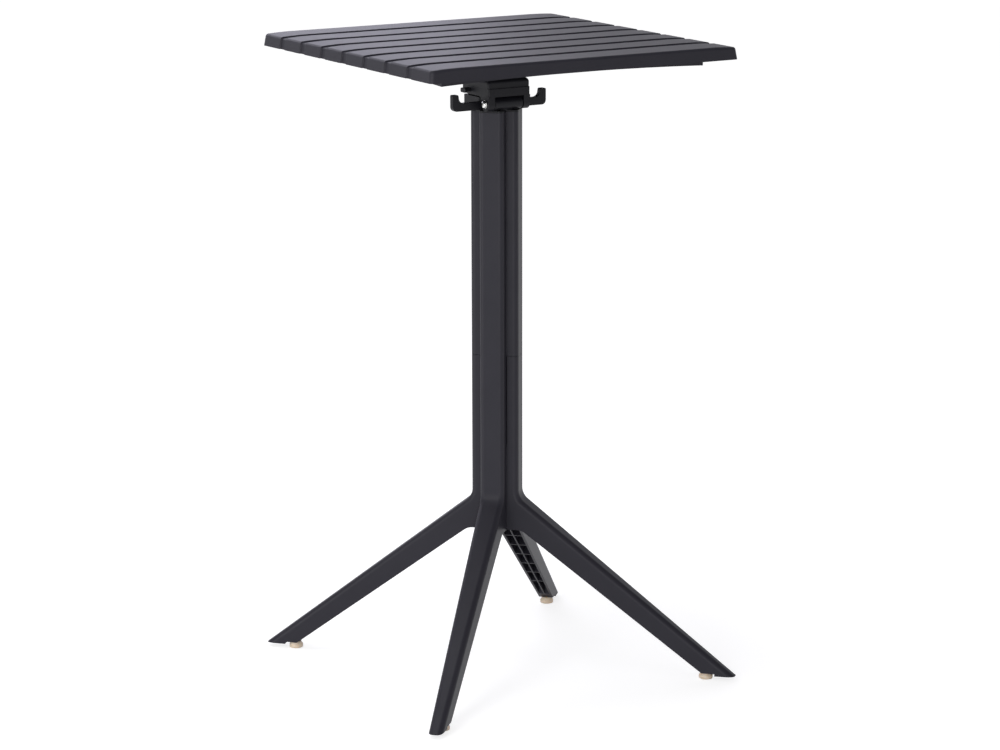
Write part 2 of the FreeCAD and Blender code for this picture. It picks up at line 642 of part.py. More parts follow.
def hinge_leaf():
    """Plate under the pedestal with two hinge ears in front and the lock's channel across its back half."""
    plan = rectangle(LEAF_HALF, LEAF_FRONT, LEAF_BACK, BLOCK_EDGE_R)
    leaf = plate(plan, on_xy(LEAF_Z), UP * LEAF_T).fuse([ear(-LEAF_HALF), ear(EAR_IN)])
    half_w = SLIDE_W / 2 + SLIDE_CLEAR
    half_h = SLIDE_H / 2 + SLIDE_CLEAR
    channel_end = SLIDE_NOSE_X + LOCK_TRAVEL + SLIDE_BACK
    channel = box(-FAR, channel_end, LOCK_Y - half_w, LOCK_Y + half_w, LOCK_Z - half_h, LOCK_Z + half_h)
    half_t = LUG_T / 2 + LUG_CLEAR
    back = LOCK_Y + LUG_HALF + LUG_SWING
    slot = box(-half_t, half_t, LOCK_Y - LUG_HALF - LUG_CLEAR, back, 0, LEAF_TOP_Z)
    pin_half = SLIDE_H / 2 + SLIDE_CLEAR + STOP_PIN_END
    pin_hole = rod(STOP_PIN_R + FIT, LOCK_Z + pin_half, V(STOP_PIN_X, LOCK_Y, 0))
    bore = rod(BOLT_R + FIT, 2 * LEAF_HALF, V(-LEAF_HALF, HINGE_Y, HINGE_Z), V(1, 0, 0))
    nut_seat = V(NUT_SEAT_X, HINGE_Y, HINGE_Z)
    wells = [rod(NUT_POCKET_R, NUT_POCKET_DEEP + OVER, nut_seat, V(1, 0, 0))]
    for x, y in leaf_screw_places():
        wells.append(rod(SCREW_HEAD_R + SCREW_HEAD_CLEAR, SCREW_SINK, V(x, y, LEAF_Z)))
        wells.append(rod(SCREW_R + FIT, LEAF_T, V(x, y, LEAF_Z)))
    return leaf.cut([channel, slot, pin_hole, bore] + wells).removeSplitter()


def hinge_bushes():
    bushes = []
    for side in (-1, 1):
        out = V(side, 0, 0)
        face = V(side * BARREL_HALF, HINGE_Y, HINGE_Z)
        flange = ring(BUSH_FLANGE_R, BOLT_R + FIT, BUSH_FLANGE_T, face, out)
        bushes.append(flange.fuse(ring(BUSH_R, BOLT_R + FIT, BUSH_LENGTH, face, out * -1)).removeSplitter())
    return Part.makeCompound(bushes)


def hinge_bolt():
    seat = -LEAF_HALF - WASHER_T
    end = NUT_SEAT_X + WASHER_T + NUT_H + ROD_STICK
    head = rod(BOLT_HEAD_R, BOLT_HEAD_H, V(seat - BOLT_HEAD_H, HINGE_Y, HINGE_Z), V(1, 0, 0))
    crown = [e for e in head.Edges if abs(e.CenterOfMass.x - seat + BOLT_HEAD_H) < NEAR]
    head = head.makeFillet(BOLT_HEAD_ROUND, crown)
    return head.fuse(rod(BOLT_R, end - seat, V(seat, HINGE_Y, HINGE_Z), V(1, 0, 0)))


def hinge_washers():
    washers = [ring(WASHER_R, BOLT_R + FIT, WASHER_T, V(x, HINGE_Y, HINGE_Z), V(1, 0, 0))
               for x in (-LEAF_HALF - WASHER_T, NUT_SEAT_X)]
    return Part.makeCompound(washers)


def hinge_nut():
    return hexagon_nut(V(NUT_SEAT_X + WASHER_T, HINGE_Y, HINGE_Z), V(1, 0, 0), BOLT_R + FIT)


# The pedestal between the leaf and the top

def gusset(middle, side, half, low, high):
    """Corners of the triangle between one side of the neck and the flange."""
    wall = middle + side * (half - OVER)
    return [(wall, low, 0), (middle + side * (half + GUSSET_H), high, 0), (wall, high, 0)]


def top_mount():
    """Plinth on the leaf, a hollow neck above it and a flange with gussets under the top."""
    front = LEAF_FRONT + PLINTH_SETBACK
    plan = rectangle(LEAF_HALF, front, LEAF_BACK, BLOCK_EDGE_R)
    plinth = plate(plan, on_xy(LEAF_TOP_Z), UP * PLINTH_H)
    shoulder = [e for e in plinth.Edges if abs(e.CenterOfMass.z - LEAF_TOP_Z - PLINTH_H) < NEAR]
    plinth = plinth.makeFillet(PLINTH_EDGE_R, shoulder)
    neck_x = LEAF_HALF - NECK_INSET
    neck_front = front + NECK_INSET
    neck_back = LEAF_BACK - NECK_INSET
    neck = box(-neck_x, neck_x, neck_front, neck_back, LEAF_TOP_Z, MOUNT_Z)
    out_x = LEAF_HALF + FLANGE_OUT
    plan = rectangle(out_x, LEAF_FRONT - FLANGE_OUT, LEAF_BACK + FLANGE_OUT, FLANGE_CORNER_R)
    flange = plate(plan, on_xy(MOUNT_Z - FLANGE_T), UP * FLANGE_T)
    mid = (neck_front + neck_back) / 2
    half_y = (neck_back - neck_front) / 2
    low = MOUNT_Z - FLANGE_T - GUSSET_H
    high = MOUNT_Z - FLANGE_T / 2
    gussets = []
    for side in (-1, 1):
        for share in (-0.5, 0.5):
            half_t = GUSSET_T / 2
            across = on_xz(mid + share * half_y - half_t)
            gussets.append(plate(gusset(0, side, neck_x, low, high), across, V(0, GUSSET_T, 0)))
            along = on_yz(share * neck_x - half_t)
            gussets.append(plate(gusset(mid, side, half_y, low, high), along, V(GUSSET_T, 0, 0)))
    wall = MOUNT_WALL
    floor_z = LEAF_TOP_Z + MOUNT_FLOOR
    hollow = box(wall - neck_x, neck_x - wall, neck_front + wall, neck_back - wall, floor_z, MOUNT_Z + OVER)
    bosses = [rod(SCREW_BOSS_R, PEDESTAL_BOSS_H, V(x, y, LEAF_TOP_Z)) for x, y in leaf_screw_places()]
    cross = [box(-GUSSET_T / 2, GUSSET_T / 2, neck_front, neck_back, floor_z, MOUNT_Z),
             box(-neck_x, neck_x, mid - GUSSET_T / 2, mid + GUSSET_T / 2, floor_z, MOUNT_Z)]
    hole_r = SCREW_R + FIT
    holes = [rod(hole_r, SCREW_BITE + SCREW_END, V(x, y, LEAF_TOP_Z)) for x, y in leaf_screw_places()]
    holes += [rod(hole_r, FLANGE_T, V(x, y, MOUNT_Z - FLANGE_T)) for x, y in flange_screw_places()]
    mount = plinth.fuse([neck, flange] + gussets).cut(hollow.cut(cross + bosses))
    return mount.cut(holes).removeSplitter()


def leaf_screws():
    length = LEAF_T - SCREW_SINK + SCREW_BITE
    return Part.makeCompound([screw(x, y, LEAF_Z, length, SCREW_SINK) for x, y in leaf_screw_places()])


def top_screws():
    length = FLANGE_T + SCREW_BITE
    return Part.makeCompound([screw(x, y, MOUNT_Z - FLANGE_T, length) for x, y in flange_screw_places()])


# The feet, drawn on the X axis and turned to each leg

LEG_TURNS = {"front": 225, "right": 315, "back": 45, "left": 135}


def glide_pad():
    foot = V(GLIDE_REACH, 0, 0)
    profile = [(0, 0, 0), (PAD_R, 0, PAD_RIM), (PAD_R, PAD_SIDE_H, PAD_RIM), (PAD_NECK_R, PAD_H, 0),
               (0, PAD_H, 0)]
    pad = Part.Face(outline(profile, on_xz(0))).revolve(V(), UP, 360)
    pad.translate(foot)
    return pad.cut(rod(STUD_R + FIT, PAD_H, foot + UP * (PAD_H - STUD_IN_PAD)))


def glide_stud():
    return rod(STUD_R, STUD_IN_PAD + STUD_LENGTH, V(GLIDE_REACH, 0, PAD_H - STUD_IN_PAD))


def glide_inserts():
    insert = ring(INSERT_R, STUD_R + FIT, INSERT_LENGTH, V(GLIDE_REACH, 0, SEAT_Z))
    return Part.makeCompound([turned(insert, turn) for turn in LEG_TURNS.values()])


def build():
    makers = [main_leg_frame, cross_leg_frame, column_head, tie_rod, tie_rod_washers, tie_rod_nuts,
              hinge_bushes, lock_stop_pin, glide_inserts, tabletop, top_mount, top_screws, hinge_leaf,
              leaf_screws, hinge_bolt, hinge_washers, hinge_nut, lock_slide]
    parts = {make.__name__: make() for make in makers}
    for leg, turn in LEG_TURNS.items():
        parts["glide_pad_" + leg] = turned(glide_pad(), turn)
        parts["glide_stud_" + leg] = turned(glide_stud(), turn)
    return parts


os.makedirs("parts", exist_ok=True)
for name, shape in build().items():
    shape.exportStep("parts/" + name + ".step")
    print(name, len(shape.Solids), "solids", round(shape.Volume / 1000, 2), "cm3", "valid", shape.isValid())
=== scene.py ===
import math

import bmesh
import bpy
from mathutils import Matrix, Vector


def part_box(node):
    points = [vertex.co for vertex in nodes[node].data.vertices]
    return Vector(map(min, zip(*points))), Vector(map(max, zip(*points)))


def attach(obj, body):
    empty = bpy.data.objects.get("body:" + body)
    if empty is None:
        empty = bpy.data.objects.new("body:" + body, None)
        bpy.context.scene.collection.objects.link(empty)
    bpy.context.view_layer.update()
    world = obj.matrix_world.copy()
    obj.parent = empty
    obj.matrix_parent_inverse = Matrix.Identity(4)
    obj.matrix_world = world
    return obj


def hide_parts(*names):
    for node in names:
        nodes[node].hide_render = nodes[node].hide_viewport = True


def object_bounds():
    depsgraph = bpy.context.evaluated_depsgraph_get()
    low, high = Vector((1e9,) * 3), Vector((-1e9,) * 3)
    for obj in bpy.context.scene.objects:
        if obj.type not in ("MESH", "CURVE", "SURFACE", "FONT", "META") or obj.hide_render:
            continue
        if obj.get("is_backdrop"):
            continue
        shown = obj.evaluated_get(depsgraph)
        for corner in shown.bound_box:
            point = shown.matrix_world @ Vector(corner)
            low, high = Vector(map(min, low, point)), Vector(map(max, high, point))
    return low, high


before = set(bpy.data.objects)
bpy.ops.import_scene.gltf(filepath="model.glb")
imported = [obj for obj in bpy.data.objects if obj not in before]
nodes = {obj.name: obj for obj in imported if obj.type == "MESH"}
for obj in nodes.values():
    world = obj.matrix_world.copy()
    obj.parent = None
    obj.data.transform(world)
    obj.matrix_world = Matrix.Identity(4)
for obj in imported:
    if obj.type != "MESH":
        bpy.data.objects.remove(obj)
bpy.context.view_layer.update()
MM = 0.001


# Leg frames and column
# Two injection mouldings lapped across each other: the front and back legs with the whole upper column,
# and the left and right legs up to the seam. Polypropylene dyed dark grey, from a spark-eroded mould.

def linear(colour):
    """An sRGB hex colour as linear RGBA."""
    shares = [int(colour[i:i + 2], 16) / 255 for i in (1, 3, 5)]
    return tuple(s / 12.92 if s <= 0.04045 else ((s + 0.055) / 1.055) ** 2.4 for s in shares) + (1.0,)


def add(tree, kind, links=None, **settings):
    """Adds a node with its settings; links gives its inputs a socket to follow or a value to keep."""
    node = tree.nodes.new(kind)
    for name, value in settings.items():
        setattr(node, name, value)
    for name, value in (links or {}).items():
        if isinstance(value, bpy.types.NodeSocket):
            tree.links.new(value, node.inputs[name])
        else:
            node.inputs[name].default_value = value
    return node


def empty_material(name):
    """A new material with its node tree, still empty."""
    material = bpy.data.materials.new(name)
    material.use_nodes = True
    material.node_tree.nodes.clear()
    return material, material.node_tree


def dress(node, material):
    """Gives a carried-over solid its finish."""
    nodes[node].data.materials.clear()
    nodes[node].data.materials.append(material)


# Moulded polypropylene: an even grain that breaks up reflections, with faint flow marks in the grey.
# The real grain is about half a millimetre; it is drawn coarser so that it shows at all.
moulded_polypropylene, tree = empty_material("moulded_polypropylene")
where = add(tree, "ShaderNodeTexCoord").outputs["Object"]
grain_mm = 2.2
grain = add(tree, "ShaderNodeTexNoise", {"Vector": where, "Scale": 1 / (grain_mm * MM), "Detail": 3.0})
flow_mm = 70.0
flow = add(tree, "ShaderNodeTexNoise", {"Vector": where, "Scale": 1 / (flow_mm * MM), "Detail": 2.0})
tone = add(tree, "ShaderNodeMixRGB", {"Fac": flow.outputs["Fac"], "Color1": linear("#26252c"),
                                      "Color2": linear("#2e2d34")})
gloss = add(tree, "ShaderNodeMapRange", {"Value": grain.outputs["Fac"], "To Min": 0.40, "To Max": 0.50})
edge = add(tree, "ShaderNodeBevel", {"Radius": 0.9 * MM}, samples=4)
relief = add(tree, "ShaderNodeBump", {"Height": grain.outputs["Fac"], "Strength": 0.15, "Distance": 0.15 * MM,
                                      "Normal": edge.outputs["Normal"]})
shader = add(tree, "ShaderNodeBsdfPrincipled", {"Base Color": tone.outputs["Color"],
                                                "Roughness": gloss.outputs["Result"], "IOR": 1.49,
                                                "Specular IOR Level": 0.21,
                                                "Normal": relief.outputs["Normal"]})
add(tree, "ShaderNodeOutputMaterial", {"Surface": shader.outputs["BSDF"]})

dress("main_leg_frame", moulded_polypropylene)
dress("cross_leg_frame", moulded_polypropylene)


# Glides
# Each foot stands on a natural, slightly clear plastic disc moulded on a threaded stud, which screws
# into a brass insert pressed in the leg, so that the table can be levelled.

def lathe(profile, segments):
    """Mesh turned about Z from (radius, height) points in millimetres; a ring repeats its first point."""
    form = bmesh.new()
    rings = []
    for radius, height in profile:
        count = segments if radius else 1
        turns = [2 * math.pi * i / segments for i in range(count)]
        rings.append([form.verts.new((radius * MM * math.cos(t), radius * MM * math.sin(t), height * MM))
                      for t in turns])
    for low, high in zip(rings, rings[1:]):
        for i in range(segments):
            j = (i + 1) % segments
            corners = [low[i % len(low)], low[j % len(low)], high[j % len(high)], high[i % len(high)]]
            form.faces.new(dict.fromkeys(corners))
    bmesh.ops.remove_doubles(form, verts=form.verts, dist=1e-7)
    bmesh.ops.recalc_face_normals(form, faces=form.faces)
    mesh = bpy.data.meshes.new("turned")
    form.to_mesh(mesh)
    form.free()
    return mesh


def joined(parts):
    """One mesh of several, each put in its place by a matrix."""
    form = bmesh.new()
    for mesh, place in parts:
        first = len(form.verts)
        form.from_mesh(mesh)
        form.verts.ensure_lookup_table()
        bmesh.ops.transform(form, matrix=place, verts=form.verts[first:])
    mesh = bpy.data.meshes.new("joined")
    form.to_mesh(mesh)
    form.free()
    return mesh


def piece(name, mesh, material, body, slot, *stands_for):
    """A finished piece: smooth but for its real edges, riding on its body in place of its plain solids."""
    obj = bpy.data.objects.new(name, mesh)
    bpy.context.scene.collection.objects.link(obj)
    mesh.materials.clear()
    mesh.materials.append(material)
    mesh.shade_smooth()
    sharp_angle = math.radians(32)
    mesh.set_sharp_from_angle(angle=sharp_angle)
    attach(obj, body)
    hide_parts(*stands_for)


def run_tree(group, values, source=None):
    """Plain mesh of a node tree run with the given values for its named inputs."""
    obj = bpy.data.objects.new("run", source or bpy.data.meshes.new("start"))
    bpy.context.scene.collection.objects.link(obj)
    modifier = obj.modifiers.new("run", "NODES")
    modifier.node_group = group
    for item in group.interface.items_tree:
        if item.in_out == "INPUT" and item.name in values:
            modifier[item.identifier] = values[item.name]
    mesh = bpy.data.meshes.new_from_object(obj.evaluated_get(bpy.context.evaluated_depsgraph_get()))
    bpy.data.objects.remove(obj)
    return mesh


# Rolled thread: one ridge wound round the core from end to end. Rod, bolt and studs are 8 mm thick, with
# the standard coarse thread of that size.
pitch, thread_deep = 1.25, 0.6
crest_share = 0.42
steps_per_turn = 28
rolled_thread = bpy.data.node_groups.new("rolled_thread", "GeometryNodeTree")
rolled_thread.interface.new_socket("Geometry", in_out="OUTPUT", socket_type="NodeSocketGeometry")
for name in ("Radius", "Pitch", "Length"):
    rolled_thread.interface.new_socket(name, in_out="INPUT", socket_type="NodeSocketFloat")
rolled_thread.interface.new_socket("Metal", in_out="INPUT", socket_type="NodeSocketMaterial")
given = add(rolled_thread, "NodeGroupInput").outputs
turns = add(rolled_thread, "ShaderNodeMath", {0: given["Length"], 1: given["Pitch"]}, operation="DIVIDE")
crest = add(rolled_thread, "ShaderNodeMath", {0: given["Pitch"], 1: crest_share}, operation="MULTIPLY")
line_r = add(rolled_thread, "ShaderNodeMath", {0: given["Radius"], 1: crest.outputs[0]}, operation="SUBTRACT")
helix = add(rolled_thread, "GeometryNodeCurveSpiral", {"Resolution": steps_per_turn,
                                                       "Rotations": turns.outputs[0],
                                                       "Start Radius": line_r.outputs[0],
                                                       "End Radius": line_r.outputs[0],
                                                       "Height": given["Length"]})
upright = add(rolled_thread, "GeometryNodeSetCurveNormal", {"Curve": helix.outputs["Curve"]}, mode="Z_UP")
ridge = add(rolled_thread, "GeometryNodeCurvePrimitiveCircle", {"Resolution": 4, "Radius": crest.outputs[0]})
wound = add(rolled_thread, "GeometryNodeCurveToMesh", {"Curve": upright.outputs["Curve"],
                                                       "Profile Curve": ridge.outputs["Curve"],
                                                       "Fill Caps": True})
plain = add(rolled_thread, "GeometryNodeRealizeInstances", {"Geometry": wound.outputs["Mesh"]})
coated = add(rolled_thread, "GeometryNodeSetMaterial", {"Geometry": plain.outputs["Geometry"],
                                                        "Material": given["Metal"]})
add(rolled_thread, "NodeGroupOutput", {"Geometry": coated.outputs["Geometry"]})

# Zinc-plated steel: a bright grey film, a little uneven, that scatters more than bare metal.
zinc_plated_steel, tree = empty_material("zinc_plated_steel")
where = add(tree, "ShaderNodeTexCoord").outputs["Object"]
patch_mm = 3.0
patches = add(tree, "ShaderNodeTexNoise", {"Vector": where, "Scale": 1 / (patch_mm * MM), "Detail": 4.0})
tone = add(tree, "ShaderNodeMixRGB", {"Fac": patches.outputs["Fac"], "Color1": linear("#b4b4ae"),
                                      "Color2": linear("#d2d1c8")})
gloss = add(tree, "ShaderNodeMapRange", {"Value": patches.outputs["Fac"], "To Min": 0.26, "To Max": 0.42})
shader = add(tree, "ShaderNodeBsdfPrincipled", {"Base Color": tone.outputs["Color"], "Metallic": 1.0,
                                                "Roughness": gloss.outputs["Result"]})
add(tree, "ShaderNodeOutputMaterial", {"Surface": shader.outputs["BSDF"]})

# Natural glide plastic: cream, a little clear at its thin rim, satin from the mould.
natural_glide_plastic, tree = empty_material("natural_glide_plastic")
where = add(tree, "ShaderNodeTexCoord").outputs["Object"]
cloud_mm = 6.0
cloud = add(tree, "ShaderNodeTexNoise", {"Vector": where, "Scale": 1 / (cloud_mm * MM), "Detail": 2.0})
tone = add(tree, "ShaderNodeMixRGB", {"Fac": cloud.outputs["Fac"], "Color1": linear("#e2cbb0"),
                                      "Color2": linear("#f0e0cc")})
gloss = add(tree, "ShaderNodeMapRange", {"Value": cloud.outputs["Fac"], "To Min": 0.3, "To Max": 0.42})
shader = add(tree, "ShaderNodeBsdfPrincipled", {"Base Color": tone.outputs["Color"],
                                                "Roughness": gloss.outputs["Result"], "IOR": 1.5,
                                                "Subsurface Weight": 0.35, "Subsurface Scale": 4.0 * MM,
                                                "Subsurface Radius": (1.0, 0.75, 0.5)})
add(tree, "ShaderNodeOutputMaterial", {"Surface": shader.outputs["BSDF"]})

# Turned brass: yellow metal with fine tool rings. The texture's waves turn 20 radians per unit.
turned_brass, tree = empty_material("turned_brass")
where = add(tree, "ShaderNodeTexCoord").outputs["Object"]
ring_mm = 0.8
wave_rate = 20
rings = add(tree, "ShaderNodeTexWave", {"Vector": where, "Scale": 1 / (ring_mm * MM) / wave_rate,
                                        "Distortion": 0.4}, bands_direction="Z")
gloss = add(tree, "ShaderNodeMapRange", {"Value": rings.outputs["Fac"], "To Min": 0.22, "To Max": 0.34})
shader = add(tree, "ShaderNodeBsdfPrincipled", {"Base Color": linear("#c9a557"), "Metallic": 1.0,
                                                "Roughness": gloss.outputs["Result"]})
add(tree, "ShaderNodeOutputMaterial", {"Surface": shader.outputs["BSDF"]})

dress("glide_inserts", turned_brass)
for leg in ("front", "right", "back", "left"):
    body = "glide_" + leg
    low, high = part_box("glide_pad_" + leg)
    middle = (low + high) / 2
    at_foot = Matrix.Translation((middle.x, middle.y, low.z))
    pad_r = (high.x - low.x) / 2 / MM
    pad_h = (high.z - low.z) / MM
    stud_low, stud_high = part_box("glide_stud_" + leg)
    stud_r = (stud_high.x - stud_low.x) / 2 / MM
    stud_in = (stud_low.z - low.z) / MM
    stud_end = (stud_high.z - low.z) / MM
    dimple_r, dimple_deep = 3.4, 0.5
    neck_r = 9.1
    bore_r = stud_r + 0.1
    pad = lathe([(0, dimple_deep), (dimple_r, dimple_deep), (dimple_r + 0.8, 0), (pad_r - 1.7, 0),
                 (pad_r - 0.6, 0.4), (pad_r - 0.1, 1.2), (pad_r, 2.0), (pad_r, 5.6), (pad_r - 0.3, 6.4),
                 (pad_r - 0.9, 7.2), (neck_r + 0.5, 9.8), (neck_r, pad_h - 0.3), (neck_r - 0.3, pad_h),
                 (bore_r, pad_h), (bore_r, stud_in), (0, stud_in)], 64)
    piece("glide_disc_" + leg, joined([(pad, at_foot)]), natural_glide_plastic, body, "glide_plastic",
          "glide_pad_" + leg)
    core_r = stud_r - thread_deep
    core = lathe([(0, stud_in), (core_r, stud_in), (core_r, stud_end - thread_deep),
                  (core_r - thread_deep, stud_end), (0, stud_end)], 40)
    winding = run_tree(rolled_thread, {"Radius": stud_r * MM, "Pitch": pitch * MM, "Metal": zinc_plated_steel,
                                       "Length": (stud_end - stud_in - 2 * pitch) * MM})
    raised = at_foot @ Matrix.Translation((0, 0, (stud_in + pitch) * MM))
    piece("threaded_stud_" + leg, joined([(core, at_foot), (winding, raised)]), zinc_plated_steel, body,
          "zinc_steel", "glide_stud_" + leg)


# Tie rod
# A steel rod down the middle of the column, threaded at both ends, with a washer and nut at each. It
# pulls the head, the column and both leg frames together.

def carved(blank, cutter, operation):
    """Mesh of a blank after one exact cut with another."""
    stock = bpy.data.objects.new("stock", blank)
    tool = bpy.data.objects.new("tool", cutter)
    for obj in (stock, tool):
        bpy.context.scene.collection.objects.link(obj)
    cut = stock.modifiers.new("cut", "BOOLEAN")
    cut.object = tool
    cut.operation = operation
    cut.solver = "EXACT"
    mesh = bpy.data.meshes.new_from_object(stock.evaluated_get(bpy.context.evaluated_depsgraph_get()))
    for obj in (stock, tool):
        bpy.data.objects.remove(obj)
    return mesh


def nut_mesh(across, height, bore):
    """Hexagon nut with its corners turned off at both faces and a countersunk bore."""
    corner = across / math.sqrt(3)
    block = lathe([(0, 0), (corner, 0), (corner, height), (0, height)], 6)
    face_r = across / 2 * 0.95
    thirty_degrees = 0.58
    slope = (corner - face_r) * thirty_degrees
    sink = 0.5
    outside = corner + 0.1
    turned = lathe([(bore + sink, 0), (face_r, 0), (outside, slope), (outside, height - slope),
                    (face_r, height), (bore + sink, height), (bore, height - sink), (bore, sink),
                    (bore + sink, 0)], 48)
    return carved(block, turned, "INTERSECT")


def washer_mesh(outer, inner, thick):
    """Flat washer with its stamped edge rounded on both faces."""
    soft = 0.25
    return lathe([(inner, soft), (inner + soft, 0), (outer - soft, 0), (outer, soft), (outer, thick - soft),
                  (outer - soft, thick), (inner + soft, thick), (inner, thick - soft), (inner, soft)], 56)


low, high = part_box("tie_rod")
rod_r = (high.x - low.x) / 2 / MM
rod_low, rod_high = low.z / MM, high.z / MM
end_thread = 40.0
core_r = rod_r - thread_deep
shank_r = rod_r - 0.02
core = lathe([(0, rod_low), (core_r - thread_deep, rod_low), (core_r, rod_low + thread_deep),
              (core_r, rod_low + end_thread), (shank_r, rod_low + end_thread + thread_deep),
              (shank_r, rod_high - end_thread - thread_deep), (core_r, rod_high - end_thread),
              (core_r, rod_high - thread_deep), (core_r - thread_deep, rod_high), (0, rod_high)], 40)
winding = run_tree(rolled_thread, {"Radius": rod_r * MM, "Pitch": pitch * MM, "Metal": zinc_plated_steel,
                                   "Length": (end_thread - 2 * pitch) * MM})
starts = (rod_low + pitch, rod_high - end_thread + pitch)
ends = [(winding, Matrix.Translation((0, 0, z * MM))) for z in starts]
piece("threaded_tie_rod", joined([(core, Matrix())] + ends), zinc_plated_steel, "base", "zinc_steel",
      "tie_rod")

low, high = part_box("tie_rod_nuts")
across = (high.y - low.y) / MM
nut_h = 6.5
slack = 0.05
nut = nut_mesh(across, nut_h, rod_r + slack)
seats = (low.z, high.z - nut_h * MM)
piece("hexagon_nuts", joined([(nut, Matrix.Translation((0, 0, z))) for z in seats]), zinc_plated_steel,
      "base", "zinc_steel", "tie_rod_nuts")

low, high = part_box("tie_rod_washers")
washer_t = 1.4
washer = washer_mesh((high.x - low.x) / 2 / MM, rod_r + slack, washer_t)
seats = (low.z, high.z - washer_t * MM)
piece("flat_washers", joined([(washer, Matrix.Translation((0, 0, z))) for z in seats]), zinc_plated_steel,
      "base", "zinc_steel", "tie_rod_washers")


# Column head
# One moulding in glass-filled nylon plugged into the column: deck, hinge barrel, lock lug and the two
# bag hooks. Two white acetal bushes line the barrel.

# Glass-filled nylon: nearly black, with a faint streak of fibres under a satin skin.
glass_filled_nylon, tree = empty_material("glass_filled_nylon")
where = add(tree, "ShaderNodeTexCoord").outputs["Object"]
fibre_mm = 1.6
stretched = add(tree, "ShaderNodeMapping", {"Vector": where, "Scale": (0.25, 1.0, 1.0)})
fibres = add(tree, "ShaderNodeTexNoise", {"Vector": stretched.outputs["Vector"], "Scale": 1 / (fibre_mm * MM),
                                          "Detail": 4.0})
tone = add(tree, "ShaderNodeMixRGB", {"Fac": fibres.outputs["Fac"], "Color1": linear("#121216"),
                                      "Color2": linear("#19191e")})
gloss = add(tree, "ShaderNodeMapRange", {"Value": fibres.outputs["Fac"], "To Min": 0.36, "To Max": 0.52})
edge = add(tree, "ShaderNodeBevel", {"Radius": 0.8 * MM}, samples=4)
relief = add(tree, "ShaderNodeBump", {"Height": fibres.outputs["Fac"], "Strength": 0.2, "Distance": 0.1 * MM,
                                      "Normal": edge.outputs["Normal"]})
shader = add(tree, "ShaderNodeBsdfPrincipled", {"Base Color": tone.outputs["Color"],
                                                "Roughness": gloss.outputs["Result"], "IOR": 1.53,
                                                "Specular IOR Level": 0.16,
                                                "Normal": relief.outputs["Normal"]})
add(tree, "ShaderNodeOutputMaterial", {"Surface": shader.outputs["BSDF"]})

# Moulded acetal: milk white and slippery, a little light passes into it.
moulded_acetal, tree = empty_material("moulded_acetal")
where = add(tree, "ShaderNodeTexCoord").outputs["Object"]
haze_mm = 2.0
haze = add(tree, "ShaderNodeTexNoise", {"Vector": where, "Scale": 1 / (haze_mm * MM), "Detail": 2.0})
tone = add(tree, "ShaderNodeMixRGB", {"Fac": haze.outputs["Fac"], "Color1": linear("#dedbd2"),
                                      "Color2": linear("#efede6")})
shader = add(tree, "ShaderNodeBsdfPrincipled", {"Base Color": tone.outputs["Color"], "Roughness": 0.35,
                                                "IOR": 1.48, "Subsurface Weight": 0.2,
                                                "Subsurface Scale": 1.5 * MM})
add(tree, "ShaderNodeOutputMaterial", {"Surface": shader.outputs["BSDF"]})

dress("column_head", glass_filled_nylon)
dress("hinge_bushes", moulded_acetal)


# Hinge and lock
# The leaf's two ears straddle the barrel on one bright bolt with washers and a nut. A flat plastic bolt
# slides in the leaf, through the lug of the head, and a steel dowel limits its travel.

# Bright steel: turned, polished and plated, with faint rings round the bolt's axis.
bright_steel, tree = empty_material("bright_steel")
where = add(tree, "ShaderNodeTexCoord").outputs["Object"]
ring_mm = 0.6
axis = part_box("hinge_bolt")
axis_y, axis_z = (axis[0].y + axis[1].y) / 2, (axis[0].z + axis[1].z) / 2
centred = add(tree, "ShaderNodeMapping", {"Vector": where, "Location": (0, -axis_y, -axis_z)})
rings = add(tree, "ShaderNodeTexWave", {"Vector": centred.outputs["Vector"],
                                        "Scale": 1 / (ring_mm * MM) / wave_rate},
            wave_type="RINGS", rings_direction="X")
gloss = add(tree, "ShaderNodeMapRange", {"Value": rings.outputs["Fac"], "To Min": 0.12, "To Max": 0.24})
shader = add(tree, "ShaderNodeBsdfPrincipled", {"Base Color": linear("#dcdcda"), "Metallic": 1.0,
                                                "Roughness": gloss.outputs["Result"]})
add(tree, "ShaderNodeOutputMaterial", {"Surface": shader.outputs["BSDF"]})

dress("hinge_leaf", glass_filled_nylon)
dress("lock_slide", glass_filled_nylon)
dress("lock_stop_pin", zinc_plated_steel)

low, high = axis
washer_low, washer_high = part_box("hinge_washers")
nut_low, nut_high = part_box("hinge_nut")
head_r = (high.z - low.z) / 2 / MM
head_h = (washer_low.x - low.x) / MM
bolt_length = (high.x - low.x) / MM
bolt_r = 4.0
along_x = Matrix.Translation((low.x, axis_y, axis_z)) @ Matrix.Rotation(math.pi / 2, 4, "Y")
crown_h, rim = 2.7, 0.3
quarter_turn = [math.pi / 2 * i / 8 for i in range(9)]
crown = [(head_r * math.sin(t), crown_h - crown_h * math.cos(t)) for t in quarter_turn]
threaded = 16.0
core_r = bolt_r - thread_deep
bolt = lathe(crown + [(head_r, head_h - rim), (head_r - rim, head_h), (bolt_r, head_h),
                      (bolt_r, bolt_length - threaded), (core_r, bolt_length - threaded + thread_deep),
                      (core_r, bolt_length - thread_deep), (core_r - thread_deep, bolt_length),
                      (0, bolt_length)], 56)
socket_r, socket_deep, socket_tip = 2.9, 2.4, 3.2
socket = lathe([(0, -1), (socket_r, -1), (socket_r, socket_deep), (0, socket_tip)], 6)
bolt = carved(bolt, socket, "DIFFERENCE")
winding = run_tree(rolled_thread, {"Radius": bolt_r * MM, "Pitch": pitch * MM, "Metal": bright_steel,
                                   "Length": (threaded - 2 * pitch) * MM})
out = Matrix.Translation((0, 0, (bolt_length - threaded + pitch) * MM))
